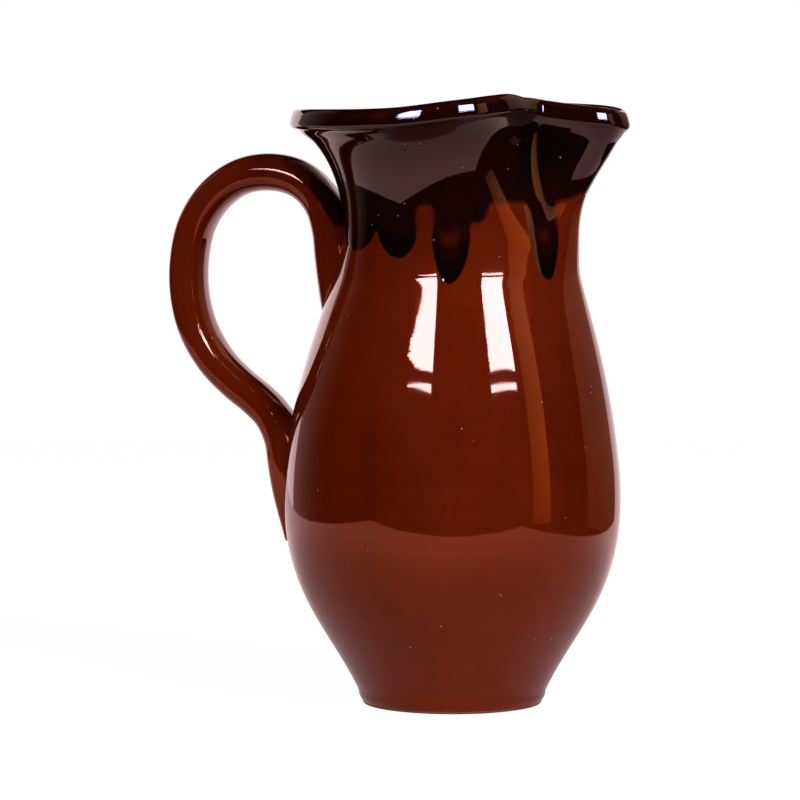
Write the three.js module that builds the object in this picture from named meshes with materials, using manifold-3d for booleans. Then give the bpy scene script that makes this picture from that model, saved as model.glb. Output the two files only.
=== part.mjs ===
// Glazed earthenware jug: a pot thrown on the wheel, its mouth pinched into a spout, with a pulled strap
// handle luted on with slip, and a second, dark glaze poured over the mouth that ran down the neck in tongues.
// Millimetres and degrees, +Z up. The origin is the centre of the flat foot; +X runs to the spout and -X to
// the handle.
import * as THREE from "three";
import { mergeVertices } from "three/addons/utils/BufferGeometryUtils.js";
import Module from "manifold-3d";

// Foot and floor
const FOOT_RADIUS = 36.6; // on the table, inside the trimmed bevel
const FOOT_BEVEL = 3.4; // height of the bevel
const FOOT_BAND_RADIUS = 38.4; // the short upright band above the bevel
const FOOT_TOP = 6.5;
const FOOT_TOP_RADIUS = 39.2;
const FLOOR_THICKNESS = 8;
const FLOOR_FILLET = 12; // where the floor turns up into the wall

// Belly, neck and mouth, as outside radii
const FOOT_LEAN = 25.7;
const BELLY_RADIUS = 69.5;
const BELLY_HEIGHT = 84.5;
const MOUTH_RADIUS = 64.2; // where the flare meets the lip, at the handle's side
const MOUTH_HEIGHT = 238.6;
const MOUTH_LEAN = 47;
const NECK_RADIUS = 44.7;
const NECK_DROP = 46.9; // from the mouth down to it
const NECK_HEIGHT = MOUTH_HEIGHT - NECK_DROP;
// How softly the outline leaves and reaches each of those heights, as shares of the height between them
const FOOT_TO_BELLY = [0.32, 0.5];
const BELLY_TO_NECK = [0.47, 0.1];
const NECK_TO_MOUTH = [0.7, 0.16];
const WALL = 5.5;
const LIP_RADIUS = 3.6; // the rounded bead that ends the wall
const LIP_FOOT = 2.6; // how far under the mouth the wall turns into the bead
const LIP_WRAP = 20; // how far the bead reaches back past level on each side

// Spout: its keel leaves the round side low down and runs out almost straight
const SPOUT_START = 105;
const KEEL_NECK_RADIUS = 52.3;
const KEEL_NECK_DROP = 50.1;
const KEEL_NECK_HEIGHT = MOUTH_HEIGHT - KEEL_NECK_DROP;
const SPOUT_REACH = 71.9;
const SPOUT_LEAN = 28;
const START_TO_KEEL_NECK = [0.6, 0.2];
const KEEL_NECK_TO_TIP = [0.48, 0.37];
const SPOUT_SPREAD_LOW = 36; // how far round it reaches, at its start
const SPOUT_SPREAD_HIGH = 18; // and at the mouth

// Fold: the fingers' pinch on each side of the spout, steep towards it and slow towards the handle
const FOLD_ANGLE = 23.5; // from the spout
const FOLD_LENGTH = 48.6; // from the mouth down to where it starts
const FOLD_START = MOUTH_HEIGHT - FOLD_LENGTH;
const FOLD_DEPTH = 21.7;
const FOLD_POWER = 1.75; // how it deepens towards the rim
const FOLD_SPREAD_IN = 10.7; // towards the spout
const FOLD_SPREAD_OUT = 38.5; // towards the handle

// Rim: how far it stands over or under a level mouth, at angles round from the spout
const RIM_LIFTS = [
  [-180, -0.5], [-140, 0.8], [-100, 2.4], [-76, 5.7], [-50, 8.6], [-34, 7.2], [-22, 6.2], [-10, 2.8],
  [0, 0.3], [14, 3.6], [30, 4.4], [50, 3.9], [75, 3.2], [105, 0.7], [132, -2.1], [160, -1.7],
];
const LIFT_POWER = 1.5; // how the lift grows from the neck to the rim

// Strap handle, up the neck, over the arch and down onto the belly. Each row of its middle line gives how far
// it stands off the pot's outside, how far it lies below the mouth, and the strap's thickness and width.
const STRAP = [
  [-9.91, 92.6, 8.6, 18], [-4.41, 80.6, 11, 22], [0.38, 67.6, 12.8, 25], [4.48, 54.6, 13.2, 26.5],
  [6.86, 43.6, 13.5, 27], [8.94, 33.5, 14, 27], [12.74, 26.6, 14.4, 27], [19.16, 21.6, 15, 26.5],
  [30.02, 19.8, 15.2, 26], [42.76, 22.2, 15, 26], [55.39, 29.8, 14.6, 26], [64.18, 41.3, 14, 26],
  [65.55, 56.6, 13.9, 26], [59.65, 72.6, 13.9, 26], [50.85, 86.8, 13.9, 26], [39.25, 99.6, 13.8, 26],
  [27.8, 108.6, 13.8, 26], [17.85, 115.2, 13.8, 26], [9.75, 122, 13.6, 26.5], [4.5, 130.6, 13.2, 26.5],
  [2.14, 141.1, 12.6, 25.5], [0.84, 151.1, 10.8, 23.5], [-0.89, 161.1, 8.6, 20.5], [-2.7, 171.6, 5.8, 16],
];
const STRAP_SQUARENESS = 2.8; // 2 is an oval section
const BACK_GROOVE = 0.8; // the fingers' track down the outer face
const INNER_HOLLOW = 0.5; // the faint hollow of the inner face

// Slip that lutes the handle on
const SLIP = 0.8;
const SLIP_SQUEEZE = 1.6; // how far it stands out round the roots

// Dark glaze over the mouth
const GLAZE = 0.8;
const DEEPEST_DROP = 66.6; // further below the mouth than any run
const THROAT_DROP = 25.6; // its edge inside the mouth
const EDGE_DROP = 31.6; // its edge outside, between the runs
const GLAZE_DEEPEST = MOUTH_HEIGHT - DEEPEST_DROP;
const GLAZE_THROAT = MOUTH_HEIGHT - THROAT_DROP;
const GLAZE_EDGE = MOUTH_HEIGHT - EDGE_DROP;
// Runs down the outside, as [angle, how far below the mouth, half-width in degrees]
const RUNS = [
  [-137, 49.1, 16], [-103, 52.1, 12], [-78, 62.1, 10], [-60, 39.6, 9], [-26, 61.1, 10],
  [24, 52.6, 12], [52, 40.6, 10], [74, 58.6, 10], [104, 47.6, 12], [133, 54.6, 14],
];

const FIT = 0.3; // gap between pieces that touch

// How finely the curves are cut
const TURNS = 64; // steps round the pot
const SPOUT_CROWDING = 0.35; // how much closer together they lie at the spout
const EDGE_TURNS = 180; // steps round the dark glaze's edge
const STRAP_STEPS = 44;
const STRAP_SIDES = 18;

const CURVE_POINTS = 80;
const SLOPE_STEP = 0.4; // how far apart two points are taken to find a slope
const TURN_STEP = 0.6;
const WELD = 1e-4;

const HALF_TURN = 180;
const FULL_TURN = 2 * HALF_TURN;
const RAD = Math.PI / HALF_TURN;
const wasm = await Module();
wasm.setup();

const steps = (from, to, count) =>
  Array.from({ length: count + 1 }, (_, i) => THREE.MathUtils.lerp(from, to, i / count));
const bell = (angle, spread) => Math.exp(-((angle / spread) ** 2));
const rise = (height, from) => THREE.MathUtils.clamp((height - from) / (MOUTH_HEIGHT - from), 0, 1);

// A Bezier between two [radius, height, lean] ends, softened at each by a share of the height between them
function sweep([r0, z0, lean0], shares, [r1, z1, lean1]) {
  const [reach0, reach1] = shares.map((share) => share * (z1 - z0));
  return new THREE.CubicBezierCurve(
    new THREE.Vector2(r0, z0),
    new THREE.Vector2(r0 + Math.tan(lean0 * RAD) * reach0, z0 + reach0),
    new THREE.Vector2(r1 - Math.tan(lean1 * RAD) * reach1, z1 - reach1),
    new THREE.Vector2(r1, z1),
  );
}

// Radius at a height along a chain of such curves
function meridian(...curves) {
  const points = curves.flatMap((curve) => curve.getPoints(CURVE_POINTS));
  return (height) => {
    const next = points.findIndex((p) => p.y >= height);
    if (next < 0) return points.at(-1).x;
    if (next === 0) return points[0].x;
    const [a, b] = [points[next - 1], points[next]];
    return THREE.MathUtils.mapLinear(height, a.y, b.y, a.x, b.x);
  };
}

const belly = [BELLY_RADIUS, BELLY_HEIGHT, 0];
const neck = [NECK_RADIUS, NECK_HEIGHT, 0];
const roundRadius = meridian(
  sweep([FOOT_TOP_RADIUS, FOOT_TOP, FOOT_LEAN], FOOT_TO_BELLY, belly),
  sweep(belly, BELLY_TO_NECK, neck),
  sweep(neck, NECK_TO_MOUTH, [MOUTH_RADIUS, MOUTH_HEIGHT, MOUTH_LEAN]),
);
const startRise = roundRadius(SPOUT_START + SLOPE_STEP) - roundRadius(SPOUT_START - SLOPE_STEP);
const startLean = Math.atan(startRise / (2 * SLOPE_STEP)) / RAD;
const keelNeck = [KEEL_NECK_RADIUS, KEEL_NECK_HEIGHT, 0];
const keelRadius = meridian(
  sweep([roundRadius(SPOUT_START), SPOUT_START, startLean], START_TO_KEEL_NECK, keelNeck),
  sweep(keelNeck, KEEL_NECK_TO_TIP, [SPOUT_REACH, MOUTH_HEIGHT, SPOUT_LEAN]),
);

// A smooth value for each angle round the pot, through [angle, value] stations
function roundSpline(stations) {
  const turns = [-FULL_TURN, 0, FULL_TURN].flatMap((turn) => stations.map(([angle, value]) => [angle + turn, value]));
  const [angles, values] = [0, 1].map((column) => turns.map((row) => row[column]));
  const spline = new THREE.CubicInterpolant(angles, values, 1);
  return (angle) => spline.evaluate(angle)[0];
}
const rimLift = roundSpline(RIM_LIFTS);

// Degrees round from the spout, from -180 to 180
const halfTurns = (angle) => THREE.MathUtils.euclideanModulo(angle + HALF_TURN, FULL_TURN) - HALF_TURN;
const fromSpout = (turn) => halfTurns(turn / RAD);

// Outside of the pot at a turn round the axis, in radians, and a height on the unpinched pot
function outside(turn, height) {
  const away = Math.abs(fromSpout(turn));
  const spread = THREE.MathUtils.lerp(SPOUT_SPREAD_LOW, SPOUT_SPREAD_HIGH, rise(height, SPOUT_START));
  const pull = height > SPOUT_START ? bell(away, spread) : 0;
  const fromFold = away - FOLD_ANGLE;
  const fold = FOLD_DEPTH * rise(height, FOLD_START) ** FOLD_POWER *
    bell(fromFold, fromFold < 0 ? FOLD_SPREAD_IN : FOLD_SPREAD_OUT);
  const radius = THREE.MathUtils.lerp(roundRadius(height), keelRadius(height), pull) - fold;
  const lift = rimLift(fromSpout(turn)) * rise(height, NECK_HEIGHT) ** LIFT_POWER;
  return new THREE.Vector3(radius * Math.cos(turn), radius * Math.sin(turn), height + lift);
}

// Unit vectors on the outside: out of the wall, and up along it
function wallFrame(turn, height) {
  const top = Math.min(height + SLOPE_STEP, MOUTH_HEIGHT);
  const up = outside(turn, top).sub(outside(turn, top - 2 * SLOPE_STEP)).normalize();
  const aside = TURN_STEP * RAD;
  const round = outside(turn + aside, height).sub(outside(turn - aside, height)).normalize();
  return { up, out: round.cross(up).normalize() };
}

// Stations of the pot's section. Each gives the point at a turn round the axis, a distance off the clay.
const station = (radius, height, at) => ({ radius, height, at });
const onOutside = (height) => station(roundRadius(height), height,
  (turn, off) => outside(turn, height).addScaledVector(wallFrame(turn, height).out, off));
const onInside = (height) => station(roundRadius(height) - WALL, height,
  (turn, off) => outside(turn, height).addScaledVector(wallFrame(turn, height).out, -WALL - off));
const onRing = (radius, height, outward, upward) => station(radius, height, (turn, off) => {
  const reach = radius + off * outward;
  return new THREE.Vector3(reach * Math.cos(turn), reach * Math.sin(turn), height + off * upward);
});

// The lip is a bead on the middle of the wall's end; a share of 0 is its foot outside, 1 inside
const onLip = (share) => station(MOUTH_RADIUS - WALL * share, MOUTH_HEIGHT, (turn, off) => {
  const { up, out } = wallFrame(turn, MOUTH_HEIGHT);
  const tilt = THREE.MathUtils.lerp(-LIP_WRAP, HALF_TURN + LIP_WRAP, share) * RAD;
  return outside(turn, MOUTH_HEIGHT)
    .addScaledVector(out, Math.cos(tilt) * (LIP_RADIUS + off) - WALL / 2)
    .addScaledVector(up, Math.sin(tilt) * (LIP_RADIUS + off));
});

const footStations = [
  onRing(FOOT_RADIUS, 0, 1, -1),
  onRing(FOOT_BAND_RADIUS, FOOT_BEVEL, 1, 0),
  onRing(FOOT_TOP_RADIUS, FOOT_TOP, 1, 0),
];
const wallTop = MOUTH_HEIGHT - LIP_FOOT;
const past = (from, to, count) => steps(from, to, count).slice(1);
const lowOutside = [...past(FOOT_TOP, BELLY_HEIGHT, 7), ...past(BELLY_HEIGHT, GLAZE_DEEPEST, 6)].map(onOutside);
const highOutside = [...past(GLAZE_DEEPEST, FOLD_START, 2), ...past(FOLD_START, wallTop, 6)].map(onOutside);
const lipStations = steps(0, 1, 5).map(onLip);
const highInside = steps(wallTop, GLAZE_THROAT, 4).map(onInside);
const filletTop = FLOOR_THICKNESS + FLOOR_FILLET;
const lowInside = [
  ...past(GLAZE_THROAT, NECK_HEIGHT, 2),
  ...past(NECK_HEIGHT, BELLY_HEIGHT, 5),
  ...past(BELLY_HEIGHT, filletTop, 4),
].map(onInside);
const filletStations = past(0, 1, 3).map((share) => onRing(
  roundRadius(filletTop) - WALL - FLOOR_FILLET * (1 - Math.cos(share * 90 * RAD)),
  filletTop - FLOOR_FILLET * Math.sin(share * 90 * RAD), -1, 1));
const onAxis = (height, upward) => onRing(0, height, 0, upward);

// Turns stations into a surface on the wheel, then sets each point in its place on the pinched pot
function thrown(sections) {
  const profile = sections.map(([place]) => new THREE.Vector2(place.radius, place.height));
  const geometry = new THREE.LatheGeometry(profile, TURNS);
  const position = geometry.getAttribute("position");
  for (let i = 0; i < position.count; i += 1) {
    const even = ((Math.floor(i / sections.length) % TURNS) / TURNS) * FULL_TURN * RAD;
    const [place, off] = sections[i % sections.length];
    const at = place.at(even - SPOUT_CROWDING * Math.sin(even), off);
    position.setXYZ(i, at.x, at.y, at.z);
  }
  return solid(geometry);
}

// Rings of points, each joined to the next, closed at both ends
function lofted(rings) {
  const sides = rings[0].length;
  const vertices = rings.flat();
  const faces = [];
  rings.slice(1).forEach((_, r) => {
    for (let i = 0; i < sides; i += 1) {
      const [a, b] = [r * sides + i, r * sides + ((i + 1) % sides)];
      faces.push(a, b, b + sides, a, b + sides, a + sides);
    }
  });
  const last = (rings.length - 1) * sides;
  for (let i = 1; i < sides - 1; i += 1) {
    faces.push(0, i + 1, i, last, last + i, last + i + 1);
  }
  return new THREE.BufferGeometry().setFromPoints(vertices).setIndex(faces);
}

// The same, with the last ring joined to the first
function ringed(rings) {
  const sides = rings[0].length;
  const faces = [];
  rings.forEach((_, r) => {
    const next = (r + 1) % rings.length;
    for (let i = 0; i < sides; i += 1) {
      const j = (i + 1) % sides;
      const [a, b, c, d] = [r * sides + i, next * sides + i, next * sides + j, r * sides + j];
      faces.push(a, b, c, a, c, d);
    }
  });
  return solid(new THREE.BufferGeometry().setFromPoints(rings.flat()).setIndex(faces));
}

// The solid inside a closed surface, ready for cutting
function solid(geometry) {
  const bare = geometry.clone();
  bare.deleteAttribute("normal");
  bare.deleteAttribute("uv");
  const merged = mergeVertices(bare, WELD);
  const corners = Array.from(merged.index.array);
  const whole = corners
    .flatMap((_, i) => (i % 3 === 0 ? [corners.slice(i, i + 3)] : []))
    .filter((face) => new Set(face).size === 3);
  return new wasm.Manifold(new wasm.Mesh({
    numProp: 3,
    vertProperties: merged.getAttribute("position").array,
    triVerts: new Uint32Array(whole.flat()),
  }));
}

// The pot's outside as one filled solid, grown by a distance
const plug = [onAxis(0, -1), ...footStations, ...lowOutside, ...highOutside, onAxis(MOUTH_HEIGHT, 0)];
const filled = (off) => thrown(plug.map((s) => [s, off]));

// The strap swept along its middle line, swollen by a distance
const strapPoints = STRAP.map(([standoff, drop]) => {
  const height = MOUTH_HEIGHT - drop;
  return new THREE.Vector3(-roundRadius(height) - standoff, 0, height);
});
const strapLine = new THREE.CatmullRomCurve3(strapPoints, false, "centripetal");
const strapSizes = STRAP.flatMap(([, , thickness, width]) => [thickness, width]);
const strapSize = new THREE.CubicInterpolant(STRAP.map((_, i) => i), strapSizes, 2);
function strap(swell) {
  const rings = steps(0, 1, STRAP_STEPS).map((share) => {
    const middle = strapLine.getPoint(share);
    const along = strapLine.getTangent(share);
    const across = new THREE.Vector3(0, 1, 0);
    const outward = new THREE.Vector3().crossVectors(along, across);
    const [thickness, width] = strapSize.evaluate(share * (STRAP.length - 1));
    return steps(0, FULL_TURN, STRAP_SIDES).slice(0, -1).map((side) => {
      const [c, s] = [Math.cos(side * RAD), Math.sin(side * RAD)];
      const breadth = Math.sign(c) * Math.abs(c) ** (2 / STRAP_SQUARENESS);
      const depth = Math.sign(s) * Math.abs(s) ** (2 / STRAP_SQUARENESS);
      const hollow = bell(breadth, 0.5) * (s > 0 ? BACK_GROOVE : -INNER_HOLLOW) * Math.abs(depth);
      return middle.clone()
        .addScaledVector(across, breadth * (width / 2 + swell))
        .addScaledVector(outward, depth * (thickness / 2 + swell) - hollow);
    });
  });
  return solid(lofted(rings));
}

const jug = new THREE.Group();
function add(name, body, material) {
  const { vertProperties, triVerts } = body.getMesh();
  const geometry = new THREE.BufferGeometry();
  geometry.setAttribute("position", new THREE.BufferAttribute(new Float32Array(vertProperties), 3));
  geometry.setIndex(new THREE.BufferAttribute(new Uint32Array(triVerts), 1));
  geometry.computeVertexNormals();
  const mesh = new THREE.Mesh(geometry, material);
  mesh.name = name;
  jug.add(mesh);
}
const brownGlaze = new THREE.MeshStandardMaterial({ color: 0x6b2410, roughness: 0.12, metalness: 0 });
const darkGlaze = new THREE.MeshStandardMaterial({ color: 0x14090a, roughness: 0.08, metalness: 0 });

// The thrown pot
const clay = [onAxis(0, 0), ...footStations, ...lowOutside, ...highOutside, ...lipStations, ...highInside,
  ...lowInside, ...filletStations, onAxis(FLOOR_THICKNESS, 0)];
add("thrown_body", thrown(clay.map((s) => [s, 0])), brownGlaze);

// The handle, seated on its slip
const handle = strap(0).subtract(filled(FIT + SLIP + FIT));
add("pulled_handle", handle, brownGlaze);

// The slip under each root
const roots = strap(SLIP_SQUEEZE).intersect(filled(FIT + SLIP)).subtract(filled(FIT));
const lowest = (body) => body.boundingBox().min[2];
const [lowerSlip, upperSlip] = roots.decompose().sort((a, b) => lowest(a) - lowest(b));
add("upper_handle_slip", upperSlip, brownGlaze);
add("lower_handle_slip", lowerSlip, brownGlaze);

// The dark glaze: a skin over the lip, inside and out, cut off below along its runs and round the handle
const BACK_STEPS = 5;
function mouth(off, below, inside, depth) {
  const skin = [...below, ...highOutside, ...lipStations, ...highInside, ...inside];
  const back = steps(skin.at(-1).height, skin[0].height, BACK_STEPS);
  const inWall = back.map((height) => [onOutside(height), -depth]);
  return thrown([...skin.map((s) => [s, off]), ...inWall, [skin[0], off]]);
}
const glazeSkin = mouth(FIT + GLAZE, lowOutside.slice(-1), [], WALL / 3)
  .subtract(mouth(FIT, lowOutside.slice(-2), lowInside.slice(0, 1), WALL * 2 / 3));
function glazeEdge(angle) {
  return Math.min(GLAZE_EDGE, ...RUNS.map(([middle, drop, half]) => {
    const away = Math.abs(halfTurns(angle - middle));
    return THREE.MathUtils.lerp(MOUTH_HEIGHT - drop, GLAZE_EDGE, (away / half) ** 2);
  }));
}
function underEdge(angle) {
  const [inner, edge] = [NECK_RADIUS - WALL, glazeEdge(angle)];
  const corners = [[inner, 0], [BELLY_RADIUS, 0], [BELLY_RADIUS, edge], [inner, edge]];
  return corners.map(([radius, height]) => onRing(radius, height, 0, 0).at(angle * RAD, 0));
}
const belowRuns = ringed(steps(-HALF_TURN, HALF_TURN, EDGE_TURNS).slice(0, -1).map(underEdge));
const collar = glazeSkin.subtract(belowRuns).subtract(strap(SLIP_SQUEEZE + FIT));
add("dark_glaze_collar", collar, darkGlaze);
export default jug;
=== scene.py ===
"""Studio scene of a glazed earthenware jug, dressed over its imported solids.

The pot was thrown on the wheel and its mouth pinched into a spout. A pulled strap handle is luted on with
slip, and a dark glaze was poured over the mouth and ran down the neck. Forms are worked out in millimetres
and degrees, as a potter would give them, and turned into metres when a mesh is made. +X runs to the spout,
-X to the handle, +Z up, and the origin is the centre of the foot.
"""
import functools
import itertools
import logging
import math
from collections.abc import Callable, Sequence
from dataclasses import dataclass, field
from enum import Enum

import bmesh
import bpy
import numpy as np
from mathutils import Matrix, Vector

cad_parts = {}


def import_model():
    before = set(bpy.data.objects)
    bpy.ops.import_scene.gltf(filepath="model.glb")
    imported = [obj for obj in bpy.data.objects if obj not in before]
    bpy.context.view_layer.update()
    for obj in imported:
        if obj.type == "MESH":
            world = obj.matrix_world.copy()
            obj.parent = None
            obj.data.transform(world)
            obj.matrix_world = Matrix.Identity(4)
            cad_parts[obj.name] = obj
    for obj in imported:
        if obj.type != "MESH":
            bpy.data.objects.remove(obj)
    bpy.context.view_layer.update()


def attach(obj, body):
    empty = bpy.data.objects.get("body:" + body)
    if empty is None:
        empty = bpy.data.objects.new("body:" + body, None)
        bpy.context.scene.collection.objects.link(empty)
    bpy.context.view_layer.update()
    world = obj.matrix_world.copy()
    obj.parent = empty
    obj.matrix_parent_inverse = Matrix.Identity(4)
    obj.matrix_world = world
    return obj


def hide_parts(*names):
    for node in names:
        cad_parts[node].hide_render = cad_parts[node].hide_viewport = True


LOG = logging.getLogger("clay_jug")
MM = 0.001
FULL_TURN = 360.0
HALF_TURN = 180.0
WELD = 1e-6
CURVE_STEPS = 161
SENSOR_WIDTH = 36

Array = np.ndarray
Row = Callable[[Array], Array]
Span = tuple[float, float]
Triple = tuple[float, float, float]
Colour = Triple
Shape = bmesh.types.BMesh
Piece = bpy.types.Object
Socket = bpy.types.NodeSocket
Inputs = dict[str | int, object]


class Slot(Enum):
    """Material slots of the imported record."""

    BROWN = "brown_glaze"
    DARK = "dark_glaze"


# Curves and grids


def cubic_through(knots: Sequence[float], values: Array, at: Array) -> Array:
    """Evaluates a cubic whose slope at each knot is that between its neighbours.

    Args:
        knots: Rising places of the samples.
        values: One value or row of values for each knot.
        at: Places to evaluate, within the knots.

    Returns:
        The value or row of values at each place.
    """
    x = np.asarray(knots, float)
    y = np.asarray(values, float)
    slopes = np.empty_like(y)
    slopes[1:-1] = ((y[2:] - y[:-2]).T / (x[2:] - x[:-2])).T
    slopes[0] = (y[1] - y[0]) / (x[1] - x[0])
    slopes[-1] = (y[-1] - y[-2]) / (x[-1] - x[-2])
    i = np.clip(np.searchsorted(x, at, side="right") - 1, 0, len(x) - 2)
    width = x[i + 1] - x[i]
    t = (at - x[i]) / width
    if y.ndim > 1:
        t, width = t[:, None], width[:, None]
    return (
        (2 * t**3 - 3 * t**2 + 1) * y[i]
        + (t**3 - 2 * t**2 + t) * width * slopes[i]
        + (3 * t**2 - 2 * t**3) * y[i + 1]
        + (t**3 - t**2) * width * slopes[i + 1]
    )


def smoothstep(low: float, high: float, value: Array) -> Array:
    """Rises smoothly from 0 at low to 1 at high."""
    t = np.clip((value - low) / (high - low), 0, 1)
    return t * t * (3 - 2 * t)


def level_off(share: Array) -> Array:
    """Rises steeply from 0 and levels off at 1."""
    return 1 - (1 - np.clip(share, 0, 1)) ** 2


def bell(away: Array, spread: Array | float) -> Array:
    """Is 1 in the middle and fades out over the spread."""
    return np.exp(-((away / spread) ** 2))


def from_middle(angle: Array) -> Array:
    """Wraps degrees to the range from -180 to 180."""
    return (angle + HALF_TURN) % FULL_TURN - HALF_TURN


def between(low: float, high: float, count: int) -> list[float]:
    """Even steps from low to high, without low itself."""
    return list(np.linspace(low, high, count + 1)[1:])


@dataclass
class PointGrid:
    """Rows of points, each row running once round a piece.

    Attributes:
        rows: Points in millimetres, as rows, columns and coordinates.
        joined: Whether the last row joins the first, as round a skin.
        layers: Values for the points, by the name of their attribute.
    """

    rows: Array
    joined: bool = False
    layers: dict[str, Array] = field(default_factory=dict)

    def spin(self) -> Shape:
        """Spins a chain of points round an axis and sets each one in its place.

        Returns:
            The surface, closed round the axis, with capped or merged ends.
        """
        count, columns = self.rows.shape[:2]
        shape = bmesh.new()
        chain = [shape.verts.new((1, 0, row)) for row in range(count)]
        pairs = list(zip(chain, chain[1:] + chain[:1]))
        edges = [shape.edges.new(pair) for pair in pairs[: count if self.joined else -1]]
        bmesh.ops.spin(
            shape, geom=chain + edges, cent=(0, 0, 0), axis=(0, 0, 1), angle=math.tau, steps=columns,
            use_merge=True,
        )
        slots = {name: shape.verts.layers.float.new(name) for name in self.layers}
        for vert in shape.verts:
            row = round(vert.co.z)
            column = round(math.atan2(vert.co.y, vert.co.x) / math.tau * columns) % columns
            vert.co = Vector(self.rows[row, column]) * MM
            for name, slot in slots.items():
                vert[slot] = float(self.layers[name][row, column])
        bmesh.ops.remove_doubles(shape, verts=shape.verts, dist=WELD)
        rims = [edge for edge in shape.edges if edge.is_boundary]
        if rims:
            bmesh.ops.holes_fill(shape, edges=rims, sides=0)
        bmesh.ops.recalc_face_normals(shape, faces=shape.faces)
        return shape


def make_piece(name: str, shape: Shape, material: bpy.types.Material) -> Piece:
    """Puts a finished shape in the scene as a smooth piece at the origin.

    Args:
        name: Name of the piece.
        shape: The shape, which is freed.
        material: Its finish.

    Returns:
        The new object.
    """
    mesh = bpy.data.meshes.new(name)
    shape.to_mesh(mesh)
    shape.free()
    mesh.shade_smooth()
    mesh.materials.append(material)
    piece = bpy.data.objects.new(name, mesh)
    bpy.context.scene.collection.objects.link(piece)
    return piece


def dress(piece: Piece, node: str) -> None:
    """Puts a piece on the jug.

    Args:
        piece: The piece.
        node: Solid that it takes the place of.
    """
    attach(piece, "root")
    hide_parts(node)
    LOG.info("%s stands for %s, %d faces", piece.name, node, len(piece.data.polygons))


# The pot's form


@dataclass(frozen=True)
class CurveEnd:
    """End of an outline curve: its radius, its height and its lean from upright, in degrees."""

    radius: float
    height: float
    lean: float = 0.0


def sweep(start: CurveEnd, shares: Span, end: CurveEnd) -> Array:
    """Draws a Bezier outline between two ends.

    Args:
        start: Lower end.
        shares: How far each end's direction is held, as shares of the height between them.
        end: Upper end.

    Returns:
        Points as rows of radius and height.
    """
    first, last = (share * (end.height - start.height) for share in shares)
    ends = np.array([
        (start.radius, start.height),
        (start.radius + math.tan(math.radians(start.lean)) * first, start.height + first),
        (end.radius - math.tan(math.radians(end.lean)) * last, end.height - last),
        (end.radius, end.height),
    ])
    t = np.linspace(0, 1, CURVE_STEPS)
    weights = np.stack([(1 - t) ** 3, 3 * (1 - t) ** 2 * t, 3 * (1 - t) * t**2, t**3], axis=1)
    return weights @ ends


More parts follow.
